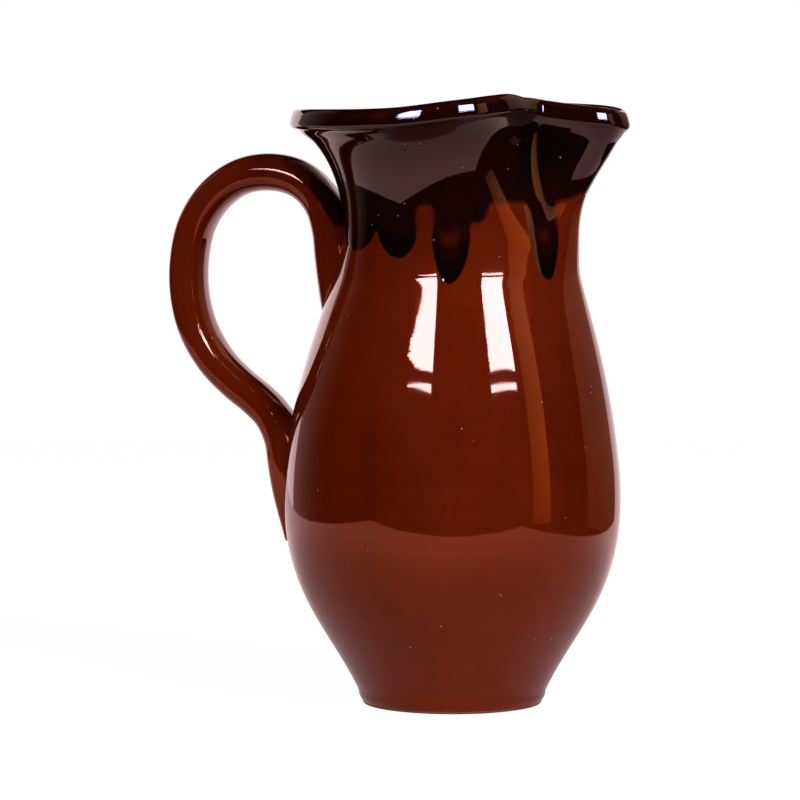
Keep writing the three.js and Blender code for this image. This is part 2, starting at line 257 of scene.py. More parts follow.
@dataclass(frozen=True)
class PotForm:
    """Form of the thrown and pinched pot, with the sizes of its solid, in millimetres and degrees.

    Attributes:
        foot, belly, neck, mouth: Ends of the outline's curves away from the spout.
        foot_to_belly, belly_to_neck, neck_to_mouth: How far each curve holds the directions of its ends.
        spout_start: Height where the spout's keel leaves the round pot.
        keel_neck, spout_tip: Ends of the keel's curves.
        start_to_keel_neck, keel_neck_to_tip: How far these hold the directions of their ends.
        spout_spread: How far the spout spreads to each side, at its start and at the mouth.
        fold_angle: From the keel to the fold on each side.
        fold_start: Height where the folds start.
        fold_depth: Their depth at the mouth.
        fold_power: How late they reach it.
        fold_spread: How far a fold spreads towards the keel, and away from it.
        rim_lifts: How far the rim stands over a level mouth, at angles round from the spout.
        lift_power: How late the neck takes part in that.
        wall: Thickness of the wall.
        lip_radius: Radius of the lip's bead.
        lip_foot: How far below the mouth it starts.
        lip_wrap: How far round below the level it goes on, on each side.
        lip_face: Lean of its flat face, where it has one.
        ledge: Faint ledge of the potter's rib where the shoulder meets the neck, as height and depth.
        slope_step, turn_step: Steps over which slopes are taken.
    """

    foot: CurveEnd = CurveEnd(39.2, 6.5, 25.7)
    belly: CurveEnd = CurveEnd(69.44, 84.5)
    neck: CurveEnd = CurveEnd(44.7, 191.7)
    mouth: CurveEnd = CurveEnd(64.2, 238.6, 47)
    foot_to_belly: Span = (0.32, 0.5)
    belly_to_neck: Span = (0.47, 0.1)
    neck_to_mouth: Span = (0.7, 0.16)
    spout_start: float = 105
    keel_neck: CurveEnd = CurveEnd(52.3, 188.5)
    spout_tip: CurveEnd = CurveEnd(71.9, 238.6, 28)
    start_to_keel_neck: Span = (0.6, 0.2)
    keel_neck_to_tip: Span = (0.48, 0.37)
    spout_spread: Span = (36, 18)
    fold_angle: float = 23.5
    fold_start: float = 190
    fold_depth: float = 21.7
    fold_power: float = 1.75
    fold_spread: Span = (10.7, 38.5)
    rim_lifts: tuple[Span, ...] = (
        (-180, -0.5), (-140, 0.8), (-100, 2.4), (-76, 5.7), (-50, 8.6), (-34, 7.2), (-22, 6.2), (-10, 2.8),
        (0, 0.3), (14, 3.6), (30, 4.4), (50, 3.9), (75, 3.2), (105, 0.7), (132, -2.1), (160, -1.7),
    )
    lift_power: float = 1.5
    wall: float = 5.5
    lip_radius: float = 3.6
    lip_foot: float = 2.6
    lip_wrap: float = 20
    lip_face: float = 16
    ledge: tuple[Span, ...] = (
        (0, 0), (100, 0), (125, -0.05), (150, -0.21), (170, -0.37), (177, -0.42), (179, -0.34), (182, -0.02),
        (185, 0.29), (188, 0.47), (191, 0.5), (197, 0.31), (203, 0.08), (209, 0), (250, 0),
    )
    slope_step: float = 0.4
    turn_step: float = 0.6

    @property
    def wall_top(self) -> float:
        """Height where the wall turns into the lip's bead."""
        return self.mouth.height - self.lip_foot

    @functools.cached_property
    def round_outline(self) -> Array:
        """Outline of the pot away from the spout."""
        return np.vstack([
            sweep(self.foot, self.foot_to_belly, self.belly),
            sweep(self.belly, self.belly_to_neck, self.neck),
            sweep(self.neck, self.neck_to_mouth, self.mouth),
        ])

    @functools.cached_property
    def keel_outline(self) -> Array:
        """Outline of the spout's keel."""
        step = self.slope_step
        low, middle, high = self.round_radius(self.spout_start + np.array([-step, 0, step]))
        lean = math.degrees(math.atan((high - low) / (2 * step)))
        start = CurveEnd(float(middle), self.spout_start, lean)
        return np.vstack([
            sweep(start, self.start_to_keel_neck, self.keel_neck),
            sweep(self.keel_neck, self.keel_neck_to_tip, self.spout_tip),
        ])

    def round_radius(self, height: Array) -> Array:
        """Outside radius away from the spout."""
        return np.interp(height, self.round_outline[:, 1], self.round_outline[:, 0])

    def keel_radius(self, height: Array) -> Array:
        """Outside radius along the spout's keel."""
        return np.interp(height, self.keel_outline[:, 1], self.keel_outline[:, 0])

    def ledge_at(self, height: Array) -> Array:
        """Depth of the ledge."""
        heights, depths = zip(*self.ledge)
        return cubic_through(heights, np.array(depths), height)

    def rise(self, height: Array, start: float) -> Array:
        """Grows from 0 at a height to 1 at the mouth."""
        return np.clip((height - start) / (self.mouth.height - start), 0, 1)

    def rim_lift(self, angle: Array) -> Array:
        """How far the rim stands over a level mouth, at degrees round from the spout."""
        around = [(a + turn, lift) for turn in (-FULL_TURN, 0, FULL_TURN) for a, lift in self.rim_lifts]
        angles, lifts = zip(*around)
        return cubic_through(angles, np.array(lifts), angle)

    def radius(self, angle: Array, height: Array) -> Array:
        """Outside radius.

        Args:
            angle: Degrees round from the spout.
            height: Heights on the unlifted pot.

        Returns:
            Distances from the axis.
        """
        away = np.abs(angle)
        low, high = self.spout_spread
        spread = low + (high - low) * self.rise(height, self.spout_start)
        pull = np.where(height > self.spout_start, bell(away, spread), 0)
        beyond = away - self.fold_angle
        inner, outer = self.fold_spread
        fold = self.fold_depth * self.rise(height, self.fold_start) ** self.fold_power
        straight = self.round_radius(height)
        pulled = straight + (self.keel_radius(height) - straight) * pull
        return pulled - fold * bell(beyond, np.where(beyond < 0, inner, outer)) + self.ledge_at(height)

    def outside(self, turn: Array, height: Array) -> Array:
        """Points on the outside.

        Args:
            turn: Radians round the axis.
            height: Heights on the unlifted pot, as an array or one number.

        Returns:
            Points in millimetres.
        """
        height = np.broadcast_to(np.asarray(height, float), turn.shape)
        angle = from_middle(np.degrees(turn))
        radius = self.radius(angle, height)
        lift = self.rim_lift(angle) * self.rise(height, self.neck.height) ** self.lift_power
        return np.stack([radius * np.cos(turn), radius * np.sin(turn), height + lift], axis=-1)

    def frame(self, turn: Array, height: Array) -> tuple[Array, Array]:
        """Directions at points on the outside.

        Args:
            turn: Radians round the axis.
            height: Heights on the unlifted pot, as an array or one number.

        Returns:
            Unit vectors up along the outside, and out of it.
        """
        top = np.minimum(np.broadcast_to(height, turn.shape) + self.slope_step, self.mouth.height)
        up = self.outside(turn, top) - self.outside(turn, top - 2 * self.slope_step)
        aside = math.radians(self.turn_step)
        along = self.outside(turn + aside, height) - self.outside(turn - aside, height)
        up /= np.linalg.norm(up, axis=-1, keepdims=True)
        along /= np.linalg.norm(along, axis=-1, keepdims=True)
        out = np.cross(along, up)
        return up, out / np.linalg.norm(out, axis=-1, keepdims=True)

    def outer(self, height: Array | float, off: Array | float = 0.0) -> Row:
        """Row on the outside, standing off it by a distance."""
        return lambda turn: self.outside(turn, height) + (
            np.broadcast_to(off, turn.shape)[:, None] * self.frame(turn, height)[1]
        )

    def inner(self, height: Array | float, off: Array | float = 0.0) -> Row:
        """Row on the inside, standing off it by a distance."""
        return lambda turn: self.outer(height, -self.wall - np.broadcast_to(off, turn.shape))(turn)

    def lip(self, share: float, off: float = 0.0, squareness: float = 2.0) -> Row:
        """Row on the lip's bead.

        Args:
            share: Place on it, from its foot outside at 0 over to the one inside at 1.
            off: How far it stands off the bare lip.
            squareness: Of its section, where 2 is round and more gives it a flat outer face.

        Returns:
            The row.
        """
        tilt = math.radians(-self.lip_wrap + (HALF_TURN + 2 * self.lip_wrap) * share)

        def place(turn: Array) -> Array:
            """Places the row's points at radians round the axis."""
            up, out = self.frame(turn, self.mouth.height)
            from_face = tilt - np.arcsin(-out[:, 2]) - math.radians(self.lip_face)
            widths = np.abs(np.cos(from_face)) ** squareness + np.abs(np.sin(from_face)) ** squareness
            reach = ((self.lip_radius + off) * widths ** (-1 / squareness))[:, None]
            middle = self.outside(turn, self.mouth.height) - out * self.wall / 2
            return middle + reach * (math.cos(tilt) * out + math.sin(tilt) * up)

        return place


def ring(radius: float, height: float) -> Row:
    """Level ring round the axis."""
    return lambda turn: np.stack(
        [radius * np.cos(turn), radius * np.sin(turn), np.full_like(turn, height)], axis=-1
    )


# Finishes


@dataclass(frozen=True)
class Noise:
    """Noise over a surface.

    Attributes:
        waves: How many it has in a metre along each axis.
        share: How much of it is taken, or how deep its relief is, in metres.
        detail: How many finer layers it has.
        roughness: How strong they are.
    """

    waves: Triple
    share: float = 1.0
    detail: float = 3.0
    roughness: float = 0.5


@dataclass(frozen=True)
class Shade:
    """Colour that is laid over others where a value passes a span."""

    colour: Colour
    span: Span


class NodeSheet:
    """Nodes of one material or world, added and joined in a line.

    Attributes:
        owner: The material or world.
        tree: Its nodes.
    """

    def __init__(self, owner: bpy.types.Material | bpy.types.World) -> None:
        """Starts with no nodes for the owner."""
        self.owner = owner
        owner.use_nodes = True
        self.tree = owner.node_tree
        self.tree.nodes.clear()

    def add(self, kind: str, inputs: Inputs | None = None, **settings: object) -> bpy.types.Node:
        """Adds a node.

        Args:
            kind: Its type, without the words ShaderNode.
            inputs: Values or sockets for its inputs, by name or number.
            settings: Properties of the node.

        Returns:
            The node.
        """
        node = self.tree.nodes.new("ShaderNode" + kind)
        for name, value in settings.items():
            setattr(node, name, value)
        for name, value in (inputs or {}).items():
            if isinstance(value, Socket):
                self.tree.links.new(value, node.inputs[name])
            else:
                node.inputs[name].default_value = value
        return node

    def place(self, scale: Triple = (1, 1, 1)) -> Socket:
        """Object coordinates, scaled."""
        coordinates = self.add("TexCoord").outputs["Object"]
        return self.add("Mapping", {"Vector": coordinates, "Scale": scale}).outputs["Vector"]

    def noise(self, noise: Noise) -> Socket:
        """Noise from 0 to 1."""
        return self.add("TexNoise", {
            "Vector": self.place(noise.waves), "Scale": 1.0, "Detail": noise.detail,
            "Roughness": noise.roughness,
        }).outputs["Fac"]

    def math(self, operation: str, *values: object) -> Socket:
        """Result of a sum on sockets or numbers."""
        return self.add("Math", dict(enumerate(values)), operation=operation).outputs[0]

    def stir(self, noise: Noise, value: object) -> Socket:
        """Adds the share of a noise to a value."""
        return self.math("MULTIPLY_ADD", self.noise(noise), noise.share, value)

    def span(self, value: Socket, low: float, high: float, first: float = 0.0, last: float = 1.0) -> Socket:
        """Smooth change from a first number to a last one as the value goes from low to high."""
        return self.add("MapRange", {
            "Value": value, "From Min": low, "From Max": high, "To Min": first, "To Max": last,
        }, interpolation_type="SMOOTHSTEP").outputs["Result"]

    def mix(self, share: Socket, first: Socket | Colour, second: Socket | Colour) -> Socket:
        """Mixes two colours.

        Args:
            share: How much of the second there is.
            first: The first colour.
            second: The second colour.

        Returns:
            The mixed colour.
        """
        node = self.add("Mix", {"Factor": share}, data_type="RGBA")
        sockets = [socket for socket in node.inputs if socket.type == "RGBA"]
        for socket, value in zip(sockets, (first, second)):
            if isinstance(value, Socket):
                self.tree.links.new(value, socket)
            else:
                socket.default_value = (*value, 1)
        return next(socket for socket in node.outputs if socket.type == "RGBA")

    def layer(self, value: Socket, under: Socket | Colour, shades: Sequence[Shade]) -> Socket:
        """Lays shades over a colour.

        Args:
            value: What lets each shade through, where it passes the shade's span.
            under: The colour.
            shades: The shades in order.

        Returns:
            The colour of them all.
        """
        for shade in shades:
            under = self.mix(self.span(value, *shade.span), under, shade.colour)
        return under

    def relief(self, layers: Sequence[Noise]) -> Socket:
        """Relief of noises over one another.

        Args:
            layers: The noises, from the one underneath up.

        Returns:
            The normal.
        """
        under: Inputs = {}
        for layer in layers:
            bump = self.add("Bump", {
                "Height": self.noise(layer), "Distance": layer.share, "Strength": 1.0, **under,
            })
            under = {"Normal": bump.outputs["Normal"]}
        return under["Normal"]

    def emit(self, colour: object, strength: object = 1.0) -> Socket:
        """Light of its own, where 1 is white."""
        return self.add("Emission", {"Color": colour, "Strength": strength}).outputs["Emission"]

    def switch(self, test: Socket, otherwise: Socket, then: Socket) -> Socket:
        """One shader where a test gives 0, and another where it gives 1."""
        return self.add("MixShader", {"Fac": test, 1: otherwise, 2: then}).outputs["Shader"]

    def finish(self, inputs: Inputs) -> bpy.types.Material:
        """Joins a principled shader to the output and gives the material."""
        shader = self.add("BsdfPrincipled", inputs)
        self.add("OutputMaterial", {"Surface": shader.outputs["BSDF"]})
        return self.owner


@dataclass(frozen=True)
class PinholeGlints:
    """Rare pale specks in a glaze: its pinholes, painted pale as their glints.

    Attributes:
        colour: Their colour.
        cells: How many cells a metre they are strewn in.
        bare: Share of the cells that have none.
        size: From its cell's middle, where a speck has faded out and where it is full.
    """

    colour: Colour
    cells: float
    bare: float
    size: Span

    def strew(self, sheet: NodeSheet, under: Socket) -> Socket:
        """Strews them over a colour.

        Args:
            sheet: Material to add the nodes to.
            under: The colour.

        Returns:
            The colour with the specks.
        """
        # Painted glints: pale specks where the glaze's pinholes catch the light.
        cells = sheet.add("TexVoronoi", {"Vector": sheet.place(), "Scale": self.cells}).outputs
        chance = sheet.add("SeparateColor", {"Color": cells["Color"]}).outputs[0]
        dots = sheet.span(cells["Distance"], *self.size)
        shown = sheet.math("MULTIPLY", dots, sheet.math("GREATER_THAN", chance, self.bare))
        return sheet.mix(shown, under, self.colour)


@dataclass(frozen=True)
class Gloss:
    """How glossy a glaze is and how it reflects.

    Attributes:
        ior: Index of refraction.
        tint: Colour of the reflections.
        wander: Noise with which the roughness wanders.
        wander_span: Values of the noise between which it changes.
        rough: Least and greatest roughness.
    """

    ior: float
    tint: Colour
    wander: Noise
    wander_span: Span = (0.3, 0.75)
    rough: Span = (0.02, 0.05)

    def roughness(self, sheet: NodeSheet) -> Socket:
        """Roughness over the surface."""
        return sheet.span(sheet.noise(self.wander), *self.wander_span, *self.rough)

    def inputs(self) -> Inputs:
        """Inputs of the shader that are the same all over."""
        return {"IOR": self.ior, "Specular Tint": (*self.tint, 1)}


@dataclass(frozen=True)
class BrownGlaze:
    """Clear, glossy lead glaze over red clay, with the bare clay of the foot.

    Attributes:
        deep: Darkest colour of the glazed clay.
        shades: Warmer ones over it, by the mottle.
        mottle: Throwing bands, clouds and thin streaks.
        mottle_start: Value that the mottle starts from.
        painted_light_place: Middle of a painted pool of light on the near shoulder.
        painted_light_reach: Distances from it between which the painted light fades.
        painted_light_share: How much the painted light adds to the mottle.
        pinhole_glints: Pinholes, painted as pale specks for their glints.
        reliefs: Slow swell, throwing lines and fine pits.
        gloss: Its gloss.
        bare, bare_dark: Colours of the bare clay's grains.
        grain: Noise of these.
        bare_rough: How much rougher the bare clay is.
        foot_line: Heights between which the glaze starts.
        foot_waver: Noise with which that line wavers, in metres.
        spilt: Dark glaze spilt on it, by the frayed spill.
        fray: Noise that frays the spill.
    """

    deep: Colour = (0.062, 0.0048, 0.0010)
    shades: tuple[Shade, ...] = (
        Shade((0.105, 0.0085, 0.0012), (0.34, 0.54)), Shade((0.150, 0.0150, 0.0020), (0.52, 0.70)),
    )
    mottle: tuple[Noise, ...] = (
        Noise((7, 7, 420), 0.12, roughness=0.6), Noise((16, 16, 12), 0.5),
        Noise((120, 120, 9), 0.18, roughness=0.6),
    )
    mottle_start: float = 0.1
    painted_light_place: Triple = (0.024, -0.051, 0.160)
    painted_light_reach: Span = (0.01, 0.05)
    painted_light_share: float = 0.1
    pinhole_glints: PinholeGlints = PinholeGlints((0.42, 0.20, 0.12), 210, 0.9, (0.09, 0.05))
    reliefs: tuple[Noise, ...] = (
        Noise((38, 38, 55), 2.4e-5, 2.0), Noise((16, 16, 620), 4.0e-6, roughness=0.65),
        Noise((900, 900, 900), 7.0e-7, 2.0),
    )
    gloss: Gloss = Gloss(1.75, (1.0, 0.3, 0.145), Noise((45, 45, 90)))
    bare: Colour = (0.235, 0.078, 0.036)
    bare_dark: Colour = (0.1692, 0.05616, 0.02592)
    grain: Noise = Noise((1400, 1400, 1400))
    bare_rough: float = 0.8
    foot_line: Span = (0.00045, 0.00085)
    foot_waver: Noise = Noise((60, 60, 60), -0.0009)
    spilt: Shade = Shade((0.014, 0.0012, 0.0005), (0.55, 1.05))
    fray: Noise = Noise((160, 160, 160), 0.5)

    def colour(self, sheet: NodeSheet) -> Socket:
        """Colour of the glazed clay, with its mottle, pinholes painted pale as glints, and a painted pool of
        light.

        Args:
            sheet: Material to add the nodes to.

        Returns:
            The colour.
        """
        mottle: object = self.mottle_start
        for noise in self.mottle:
            mottle = sheet.stir(noise, mottle)
        # Painted pool of light: the glaze is warmer and lighter on the near shoulder.
        near = sheet.add("VectorMath", {0: sheet.place(), 1: self.painted_light_place}, operation="DISTANCE")
        thin = sheet.span(near.outputs["Value"], *self.painted_light_reach, self.painted_light_share, 0.0)
        shade = sheet.layer(sheet.math("ADD", mottle, thin), self.deep, self.shades)
        return self.pinhole_glints.strew(sheet, shade)

    def make(self, name: str, spill: bool = False) -> bpy.types.Material:
        """Makes the material.

        Args:
            name: Its name.
            spill: Whether dark glaze has spilt over the piece, where its spill attribute says.

        Returns:
            The material.
        """
        sheet = NodeSheet(bpy.data.materials.new(name))
        colour = self.colour(sheet)
        if spill:
            amount = sheet.add("Attribute", attribute_name="spill").outputs["Fac"]
            colour = sheet.layer(sheet.stir(self.fray, amount), colour, (self.spilt,))
        height = sheet.add("SeparateXYZ", {"Vector": sheet.place()}).outputs["Z"]
        glazed = sheet.span(sheet.stir(self.foot_waver, height), *self.foot_line)
        clay = sheet.mix(sheet.noise(self.grain), self.bare, self.bare_dark)
        unglazed = sheet.math("MULTIPLY_ADD", glazed, -1.0, 1.0)
        rough = sheet.math("MULTIPLY_ADD", unglazed, self.bare_rough, self.gloss.roughness(sheet))
        return sheet.finish({
            "Base Color": sheet.mix(glazed, clay, colour), "Roughness": rough,
            "Normal": sheet.relief(self.reliefs), **self.gloss.inputs(),
        })


@dataclass(frozen=True)
class DarkGlaze:
    """Thick glaze, near black where it pools and amber where it lies thin.

    Attributes:
        brown: The glaze under it, which shows at a soft edge.
        shades: Amber, dark brown and black, by how thick it lies.
        ragged: Noise that makes its thickness uneven.
        ragged_span: Values of the noise between which it does so.
        ragged_reach: What these take off and add.
        pinhole_glints: Bubbles and pinholes, painted as pale specks for their glints.
        gloss: Its gloss.
    """

    brown: BrownGlaze = BrownGlaze()
    shades: tuple[Shade, ...] = (
        Shade((0.052, 0.0048, 0.0014), (0.02, 0.32)), Shade((0.0088, 0.0012, 0.0008), (0.3, 0.8)),
        Shade((0.003, 0.0007, 0.0007), (1.0, 1.35)),
    )
    ragged: Noise = Noise((110, 110, 70), detail=4.0, roughness=0.6)
    ragged_span: Span = (0.25, 0.75)
    ragged_reach: Span = (-0.1, 0.1)
    pinhole_glints: PinholeGlints = PinholeGlints((0.30, 0.16, 0.12), 330, 0.93, (0.13, 0.07))
    gloss: Gloss = Gloss(1.55, (1.0, 0.62, 0.62), Noise((60, 60, 60)))

    def make(self, name: str) -> bpy.types.Material:
        """Makes the material, whose pool attribute gives how thick the glaze lies.

        Args:
            name: Its name.

        Returns:
            The material.
        """
        sheet = NodeSheet(bpy.data.materials.new(name))
        pool = sheet.add("Attribute", attribute_name="pool").outputs["Fac"]
        uneven = sheet.span(sheet.noise(self.ragged), *self.ragged_span, *self.ragged_reach)
        colour = sheet.layer(sheet.math("ADD", pool, uneven), self.brown.colour(sheet), self.shades)
        return sheet.finish({
            "Base Color": self.pinhole_glints.strew(sheet, colour), "Roughness": self.gloss.roughness(sheet),
            "Normal": sheet.relief(self.brown.reliefs), **self.gloss.inputs(),
        })


# The pieces


@dataclass
class ThrownBody:
    """The pot itself, from its wire-cut base over the rounded lip to the floor inside.

    Attributes:
        form: Form of the pot.
        turns: Steps round it.
        crowding: How much closer together they lie at the spout.
        base: Rings of the base and foot, as radius and height.
        floor: Height of the floor inside.
        fillet: Radius where the floor turns up into the wall.
        floor_waves: Half the height of the rings on the floor, and their number.
        ripple: How deep the throwing rings inside are, and how far apart.
        ripple_in, ripple_out: Heights between which they deepen, and fade again.
        outer_rows, lip_rows, inner_rows, fillet_rows, floor_rows: Rows on each part.
    """

    form: PotForm
    turns: int = 224
    crowding: float = 0.35
    base: tuple[Span, ...] = (
        (0, 0.5), (9, 0.5), (18, 0.45), (26, 0.25), (31, 0.05), (33, 0), (35.9, 0), (36.6, 0.15),
        (36.95, 0.6), (37.4, 1.5), (38.0, 2.6), (38.4, 3.5), (38.6, 4.5), (38.85, 5.6), (39.2, 6.5),
    )
    floor: float = 8
    fillet: float = 12
    floor_waves: tuple[float, int] = (0.18, 3)
    ripple: Span = (0.3, 8.3)
    ripple_in: Span = (20, 45)
    ripple_out: Span = (222, 190)
    outer_rows: int = 176
    lip_rows: int = 13
    inner_rows: int = 112
    fillet_rows: int = 7
    floor_rows: int = 14

    def thrown(self, height: float) -> Row:
        """Row on the inside, with the throwing rings that the fingers left."""
        depth, apart = self.ripple
        fade = float(smoothstep(*self.ripple_in, height) * smoothstep(*self.ripple_out, height))
        return lambda turn: self.form.inner(
            height, depth * fade * np.sin(height / apart * math.tau - turn)
        )(turn)

    def rows(self) -> list[Row]:
        """Rows from the middle of the base round to the middle of the floor.

        Returns:
            The rows in order.
        """
        form = self.form
        top = self.floor + self.fillet
        reach = float(form.round_radius(top)) - form.wall
        corner = [
            ring(reach - self.fillet * (1 - math.cos(a)), top - self.fillet * math.sin(a))
            for a in between(0, math.pi / 2, self.fillet_rows)
        ]
        flat = reach - self.fillet
        wave, waves = self.floor_waves
        floor = [
            ring(flat * (1 - share), self.floor + wave * (1 - math.cos(share * math.tau * waves)))
            for share in between(0, 1, self.floor_rows)
        ]
        return [
            *(ring(*step) for step in self.base),
            *(form.outer(h) for h in between(form.foot.height, form.wall_top, self.outer_rows)),
            *(form.lip(share) for share in np.linspace(0, 1, self.lip_rows)),
            *(self.thrown(h) for h in between(form.wall_top, top, self.inner_rows)),
            *corner,
            *floor,
        ]

    def build(self, finish: BrownGlaze) -> None:
        """Builds the body in its glaze."""
        even = np.arange(self.turns) / self.turns * math.tau
        turn = even - self.crowding * np.sin(even)
        grid = PointGrid(np.stack([row(turn) for row in self.rows()]))
        body = make_piece("jug_body", grid.spin(), finish.make("brown_glaze_on_pot"))
        dress(body, "thrown_body")


@dataclass(frozen=True)
class Spill:
    """Dark glaze spilt over the handle's upper root.

    Attributes:
        edge: Its lower edge, as distance from the axis along X and height.
        soft: How far below and above the edge it starts and is full.
        end: Along X, where it starts and is full.
        thicken: Along X, where it grows from its least thickness to 1.
        least: Its least thickness.
    """

    edge: tuple[Span, ...] = (
        (-69, 221), (-64.7, 218.8), (-60.5, 213.8), (-56.2, 210.5), (-52, 205), (-46.9, 196.8),
    )
    soft: Span = (-1, 1.5)
    end: Span = (-71.5, -69.5)
    thicken: Span = (-60, -51)
    least: float = 0.6

    def over(self, points: Array) -> Array:
        """How much of it lies over points of the handle, from 0 to 1."""
        x, z = points[..., 0], points[..., 2]
        above = z - np.interp(x, *zip(*self.edge))
        thick = self.least + (1 - self.least) * smoothstep(*self.thicken, x)
        return smoothstep(*self.end, x) * smoothstep(*self.soft, above) * thick


@dataclass
class StrapHandle:
    """The pulled strap and the slip that its two roots are smoothed on with.

    Attributes:
        form: Form of the pot that it stands on.
        rows: Middle line, each as standoff from the pot, drop below the mouth, thickness and width.
        squareness: Of its section's outer half where that stands upright, where 2 is an oval.
        roundness: The same elsewhere.
        flatness: The same of the inner half, against the palm.
        belly: How much further the inner half swells.
        worn: How much thinner the outer half is where it stands upright.
        upright_power: How soon a slope no longer counts as upright.
        steps: Rings along the strap.
        sides: Points round each ring.
        share_step: Share of the line over which its direction is taken.
        sunk: How deep in the wall the roots end.
        smoothed: Shares of the line over which the upper root's end is smoothed down to the neck.
        flare: How far the slip spreads at the wall, at the upper and the lower root.
        flare_reach: How far off the wall the spread starts.
        flare_power: How late it grows.
        flare_depth: Depths in the wall between which it has gone and is full.
        slip_shares: Shares of the line where the upper root's slip ends and the lower one's starts.
        slip_steps: Rings along the slip.
        slip_under: How far it lies under the strap elsewhere.
        slip_sunk: How much less deep it ends.
        spill: The dark glaze on it.
    """

    form: PotForm
    rows: tuple[tuple[float, float, float, float], ...] = (
        (-11.5, 90.6, 8.6, 18), (-6.6, 78.6, 11, 22), (-1, 66.2, 12.8, 25), (4.2, 54.6, 13.2, 26.5),
        (6.86, 43.6, 13.5, 27), (8.94, 33.5, 14, 27), (12.74, 26.6, 14.4, 27), (19.16, 21.6, 15, 26.5),
        (30.02, 19.8, 15.2, 26), (42.76, 22.2, 15, 26), (55.39, 29.8, 14.6, 26), (64.16, 41.3, 14, 26),
        (65.5, 56.6, 13.9, 26), (59.6, 72.6, 13.9, 26), (50.85, 86.8, 13.9, 26), (39.25, 99.6, 13.8, 26),
        (27.8, 108.6, 13.8, 26), (17.85, 115.2, 13.8, 26), (9.75, 122, 13.6, 26.5),
        (4.5, 130.6, 13.2, 26.5), (2.14, 141.1, 12.6, 25.5), (0.84, 151.1, 10.8, 23.5),
        (-0.89, 161.1, 8.6, 20.5), (-2.7, 171.6, 5.8, 16),
    )
    squareness: float = 3.6
    roundness: float = 2.15
    flatness: float = 2.4
    belly: float = 0.45
    worn: float = 0.42
    upright_power: float = 4
    steps: int = 200
    sides: int = 56
    share_step: float = 1e-4
    sunk: float = 2.0
    smoothed: Span = (0.03, 0.15)
    flare: Span = (2.6, 2.08)
    flare_reach: float = 7.5
    flare_power: float = 2.4
    flare_depth: Span = (-3.2, -0.4)
    slip_shares: Span = (0.34, 0.7)
    slip_steps: int = 90
    slip_under: float = 0.04
    slip_sunk: float = 0.4
    spill: Spill = Spill()

    @functools.cached_property
    def line(self) -> Array:
        """Middle line's points, from the upper root to the tail."""
        standoff, drop = np.array(self.rows)[:, :2].T
        height = self.form.mouth.height - drop
        return np.stack([-self.form.round_radius(height) - standoff, np.zeros_like(height), height], axis=1)

    def along(self, share: Array) -> Array:
        """Points of a centripetal curve through the middle line.

        Args:
            share: Places along it, from 0 to 1, with the rows evenly spaced.

        Returns:
            The points.
        """
        line = self.line
        padded = np.vstack([2 * line[0] - line[1], line, 2 * line[-1] - line[-2]])
        place = np.clip(share, 0, 1) * (len(line) - 1)
        i = np.minimum(place.astype(int), len(line) - 2)
        t = (place - i)[:, None]
        p0, p1, p2, p3 = (padded[i + k] for k in range(4))
        g0, g1, g2 = (
            np.linalg.norm(b - a, axis=1, keepdims=True) ** 0.5 for a, b in ((p0, p1), (p1, p2), (p2, p3))
        )
        t1 = ((p1 - p0) / g0 - (p2 - p0) / (g0 + g1) + (p2 - p1) / g1) * g1
        t2 = ((p2 - p1) / g1 - (p3 - p1) / (g1 + g2) + (p3 - p2) / g2) * g1
        return p1 + t1 * t + (3 * (p2 - p1) - 2 * t1 - t2) * t**2 + (2 * (p1 - p2) + t1 + t2) * t**3

    def off_wall(self, points: Array) -> Array:
        """How far points stand off the outside of the pot, level with them."""
        turn = np.degrees(np.arctan2(points[..., 1], points[..., 0]))
        return np.hypot(points[..., 0], points[..., 1]) - self.form.radius(from_middle(turn), points[..., 2])

    def skin(self, shares: Array, spread: float, under: float, sunk: float) -> PointGrid:
        """Rings of the strap.

        Args:
            shares: Places along the middle line.
            spread: How far the slip spreads at the wall.
            under: How far the rings lie under the strap's own surface elsewhere.
            sunk: How deep in the wall the rings may reach.

        Returns:
            The grid of points, with the dark glaze spilt over its top as a layer.
        """
        middle = self.along(shares)
        forward = self.along(shares + self.share_step) - self.along(shares - self.share_step)
        forward /= np.linalg.norm(forward, axis=1, keepdims=True)
        across = np.array([0.0, 1.0, 0.0])
        inward = np.cross(forward, across)
        count = len(self.rows)
        sizes = cubic_through(range(count), np.array(self.rows)[:, 2:], shares * (count - 1))
        side = np.arange(self.sides) / self.sides * math.tau
        upright = inward[:, :1] ** self.upright_power
        outer = self.roundness + (self.squareness - self.roundness) * upright
        power = 2 / np.where(np.sin(side) < 0, outer, self.flatness)
        breadth = np.sign(np.cos(side)) * np.abs(np.cos(side)) ** power
        depth = np.sign(np.sin(side)) * np.abs(np.sin(side)) ** power

        def rings(swell: Array | float) -> Array:
            """Rings whose surface is swelled by a distance."""
            wide = breadth * (sizes[:, 1:] / 2 + swell)
            thick = depth * (sizes[:, :1] / 2 + swell + np.where(depth < 0, -self.worn * upright, self.belly))
            return middle[:, None] + wide[..., None] * across + thick[..., None] * inward[:, None]

        stands = self.off_wall(rings(0.0))
        near = np.clip(1 - stands / self.flare_reach, 0, 1) ** self.flare_power
        near *= smoothstep(*self.flare_depth, stands) * smoothstep(*self.smoothed, shares)[:, None]
        points = rings(spread * near - under)
        gap = self.off_wall(points)
        flat = np.hypot(points[..., 0], points[..., 1])
        pulled = np.where(gap < -sunk, (flat - gap - sunk) / flat, 1.0)
        points[..., :2] *= pulled[..., None]
        return PointGrid(points, layers={"spill": self.spill.over(points)})

